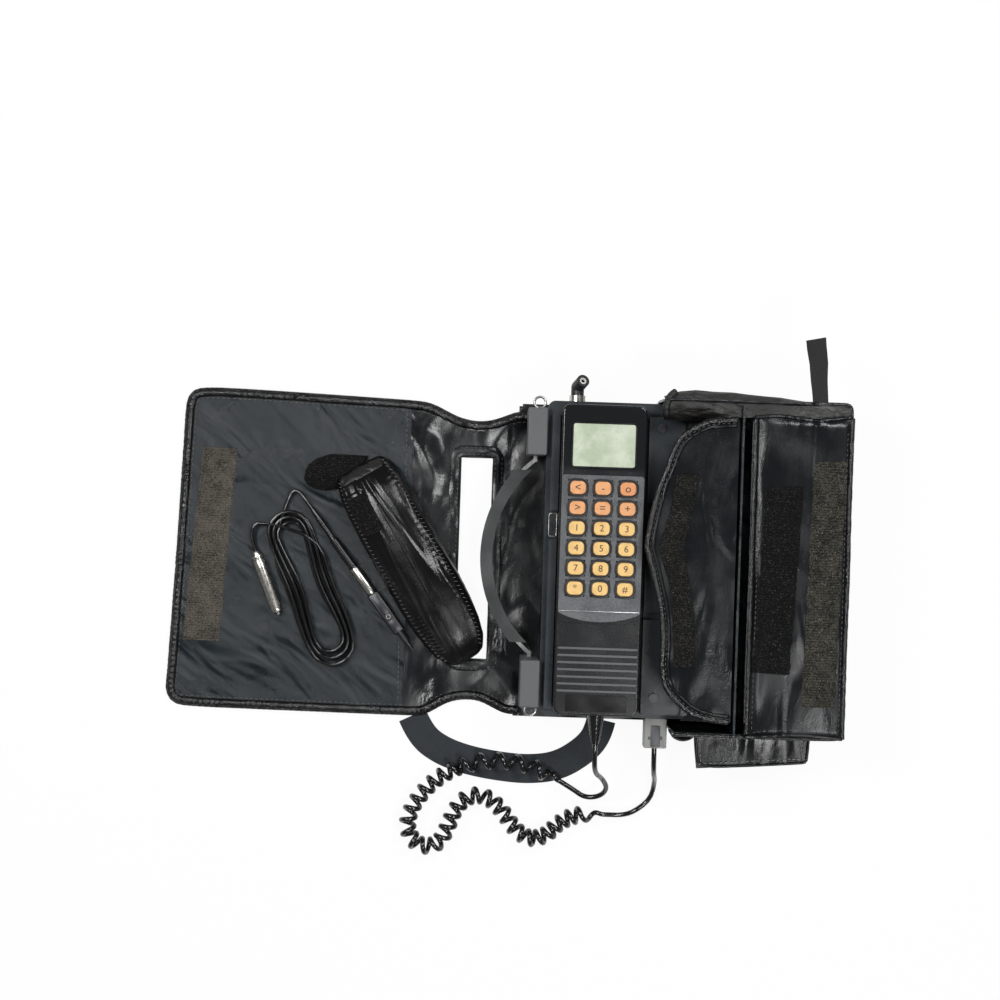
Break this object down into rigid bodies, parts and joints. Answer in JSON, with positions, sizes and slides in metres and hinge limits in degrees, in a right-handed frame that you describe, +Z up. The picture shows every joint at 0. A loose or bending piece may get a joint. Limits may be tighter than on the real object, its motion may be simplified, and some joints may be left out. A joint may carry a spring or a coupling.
{
  "type": "cellular bag phone",
  "caption": "Cellular bag phone: a soft folding case laid open with transceiver, carrying handle, corded handset on a cradle, front pocket, accessory pouch and car lead.",
  "frame": {"origin": "middle of the underside of the bag's back panel", "axes": "+X from the folding flap towards the pocket, +Y towards the phone's earpiece end, +Z up from the floor"},
  "size_m": [0.4402, 0.3516, 0.0758],
  "materials": {
    "vinyl": "grained black vinyl, glossy where it is creased",
    "lining": "dark blue-grey coated nylon",
    "webbing": "woven dark webbing",
    "hook_tape": "worn grey-brown hook tape",
    "loop_tape": "black and olive loop tape, worn",
    "case_plastic": "textured black plastic",
    "bracket_plastic": "dark grey plastic",
    "steel": "bright steel",
    "nickel": "nickel plate",
    "grip_rubber": "grey moulded grip",
    "cord_rubber": "glossy black cord",
    "handset_plastic": "black plastic, glossy at the head",
    "lens": "pale grey-green display",
    "keypad_metal": "grey metallic plate",
    "key_cream": "cream-yellow translucent keys",
    "key_orange": "orange translucent keys",
    "board": "circuit board",
    "battery": "dark pack",
    "plug_grey": "grey translucent plug"
  },
  "bodies": {
    "bag": {"back_panel": "vinyl", "bag_tub": "vinyl", "pocket_front": "vinyl", "pocket_wall": "lining", "loop_strips": "loop_tape", "side_flaps": "vinyl", "pull_tab": "webbing", "case_bottom": "case_plastic", "case_top": "case_plastic", "handle_brackets": "bracket_plastic", "radio_board": "board", "battery_pack": "battery", "antenna_socket": "nickel", "case_screws": "steel", "d_rings": "steel", "shoulder_strap": "webbing", "cord_drop": "cord_rubber", "handset_coil": "cord_rubber", "cord_tail": "cord_rubber", "cord_plug": "plug_grey"},
    "spine": {"spine_panel": "vinyl", "spine_binding": "vinyl"},
    "cover": {"cover_panel": "lining", "cover_binding": "vinyl", "cover_hook": "hook_tape"},
    "pocket_lid": {"pocket_flap": "vinyl", "pocket_flap_hook": "loop_tape"},
    "handset": {"handset_back": "handset_plastic", "handset_front": "handset_plastic", "display_lens": "lens", "keypad_plate": "keypad_metal", "handset_board": "board", "badge_plate": "handset_plastic", "cord_boot": "cord_rubber"},
    "handle": {"handle_core": "steel", "handle_grip": "grip_rubber"},
    "elbow": {"antenna_elbow": "case_plastic"},
    "pouch": {"pouch_body": "vinyl", "pouch_cuff": "vinyl"},
    "lead": {"lead_hank": "cord_rubber", "lighter_plug": "nickel", "barrel_plug": "nickel"},
    "button_a1": {"key_a1": "key_orange"},
    "button_a2": {"key_a2": "key_orange"},
    "button_a3": {"key_a3": "key_orange"},
    "button_b1": {"key_b1": "key_orange"},
    "button_b2": {"key_b2": "key_orange"},
    "button_b3": {"key_b3": "key_orange"},
    "button_c1": {"key_c1": "key_cream"},
    "button_c2": {"key_c2": "key_cream"},
    "button_c3": {"key_c3": "key_cream"},
    "button_d1": {"key_d1": "key_cream"},
    "button_d2": {"key_d2": "key_cream"},
    "button_d3": {"key_d3": "key_cream"},
    "button_e1": {"key_e1": "key_cream"},
    "button_e2": {"key_e2": "key_cream"},
    "button_e3": {"key_e3": "key_cream"},
    "button_f1": {"key_f1": "key_cream"},
    "button_f2": {"key_f2": "key_cream"},
    "button_f3": {"key_f3": "key_cream"}
  },
  "joints": [
    {"name": "bag_fold", "type": "hinge", "parent": "bag", "child": "spine", "pos_m": [-0.105, 0, 0.0015], "axis": [0, -1, 0], "range_deg": [-90, 0]},
    {"name": "cover_fold", "type": "hinge", "parent": "spine", "child": "cover", "pos_m": [-0.184, 0, 0.0015], "axis": [0, -1, 0], "range_deg": [-90, 0]},
    {"name": "pocket_lid_fold", "type": "hinge", "parent": "bag", "child": "pocket_lid", "pos_m": [0.0333, 0, 0.0754], "axis": [0, 1, 0], "range_deg": [0, 176]},
    {"name": "handset_lift", "type": "slide", "parent": "bag", "child": "handset", "axis": [0, 0, 1], "range_m": [0, 0.12]},
    {"name": "handle_pull", "type": "slide", "parent": "bag", "child": "handle", "axis": [-1, 0, 0], "range_m": [0, 0.004]},
    {"name": "elbow_turn", "type": "hinge", "parent": "bag", "child": "elbow", "pos_m": [-0.069, 0.11, 0.036], "axis": [0, 1, 0], "range_deg": [-45, 45]},
    {"name": "pouch_lift", "type": "slide", "parent": "bag", "child": "pouch", "axis": [0, 0, 1], "range_m": [0, 0.64]},
    {"name": "lead_lift", "type": "slide", "parent": "bag", "child": "lead", "axis": [0, 0, 1], "range_m": [0, 0.64]},
    {"name": "press_a1", "type": "slide", "parent": "handset", "child": "button_a1", "axis": [0, 0, -1], "range_m": [0, 0.0011], "stiffness_N_per_m": 500},
    {"name": "press_a2", "type": "slide", "parent": "handset", "child": "button_a2", "axis": [0, 0, -1], "range_m": [0, 0.0011], "stiffness_N_per_m": 500},
    {"name": "press_a3", "type": "slide", "parent": "handset", "child": "button_a3", "axis": [0, 0, -1], "range_m": [0, 0.0011], "stiffness_N_per_m": 500},
    {"name": "press_b1", "type": "slide", "parent": "handset", "child": "button_b1", "axis": [0, 0, -1], "range_m": [0, 0.0011], "stiffness_N_per_m": 500},
    {"name": "press_b2", "type": "slide", "parent": "handset", "child": "button_b2", "axis": [0, 0, -1], "range_m": [0, 0.0011], "stiffness_N_per_m": 500},
    {"name": "press_b3", "type": "slide", "parent": "handset", "child": "button_b3", "axis": [0, 0, -1], "range_m": [0, 0.0011], "stiffness_N_per_m": 500},
    {"name": "press_c1", "type": "slide", "parent": "handset", "child": "button_c1", "axis": [0, 0, -1], "range_m": [0, 0.0011], "stiffness_N_per_m": 500},
    {"name": "press_c2", "type": "slide", "parent": "handset", "child": "button_c2", "axis": [0, 0, -1], "range_m": [0, 0.0011], "stiffness_N_per_m": 500},
    {"name": "press_c3", "type": "slide", "parent": "handset", "child": "button_c3", "axis": [0, 0, -1], "range_m": [0, 0.0011], "stiffness_N_per_m": 500},
    {"name": "press_d1", "type": "slide", "parent": "handset", "child": "button_d1", "axis": [0, 0, -1], "range_m": [0, 0.0011], "stiffness_N_per_m": 500},
    {"name": "press_d2", "type": "slide", "parent": "handset", "child": "button_d2", "axis": [0, 0, -1], "range_m": [0, 0.0011], "stiffness_N_per_m": 500},
    {"name": "press_d3", "type": "slide", "parent": "handset", "child": "button_d3", "axis": [0, 0, -1], "range_m": [0, 0.0011], "stiffness_N_per_m": 500},
    {"name": "press_e1", "type": "slide", "parent": "handset", "child": "button_e1", "axis": [0, 0, -1], "range_m": [0, 0.0011], "stiffness_N_per_m": 500},
    {"name": "press_e2", "type": "slide", "parent": "handset", "child": "button_e2", "axis": [0, 0, -1], "range_m": [0, 0.0011], "stiffness_N_per_m": 500},
    {"name": "press_e3", "type": "slide", "parent": "handset", "child": "button_e3", "axis": [0, 0, -1], "range_m": [0, 0.0011], "stiffness_N_per_m": 500},
    {"name": "press_f1", "type": "slide", "parent": "handset", "child": "button_f1", "axis": [0, 0, -1], "range_m": [0, 0.0011], "stiffness_N_per_m": 500},
    {"name": "press_f2", "type": "slide", "parent": "handset", "child": "button_f2", "axis": [0, 0, -1], "range_m": [0, 0.0011], "stiffness_N_per_m": 500},
    {"name": "press_f3", "type": "slide", "parent": "handset", "child": "button_f3", "axis": [0, 0, -1], "range_m": [0, 0.0011], "stiffness_N_per_m": 500}
  ],
  "couplings": [
    {"joint": "cover_fold", "follows": "bag_fold", "ratio": 1},
    {"joint": "pouch_lift", "follows": "bag_fold", "m_per_rad": -0.4},
    {"joint": "lead_lift", "follows": "bag_fold", "m_per_rad": -0.4}
  ]
}
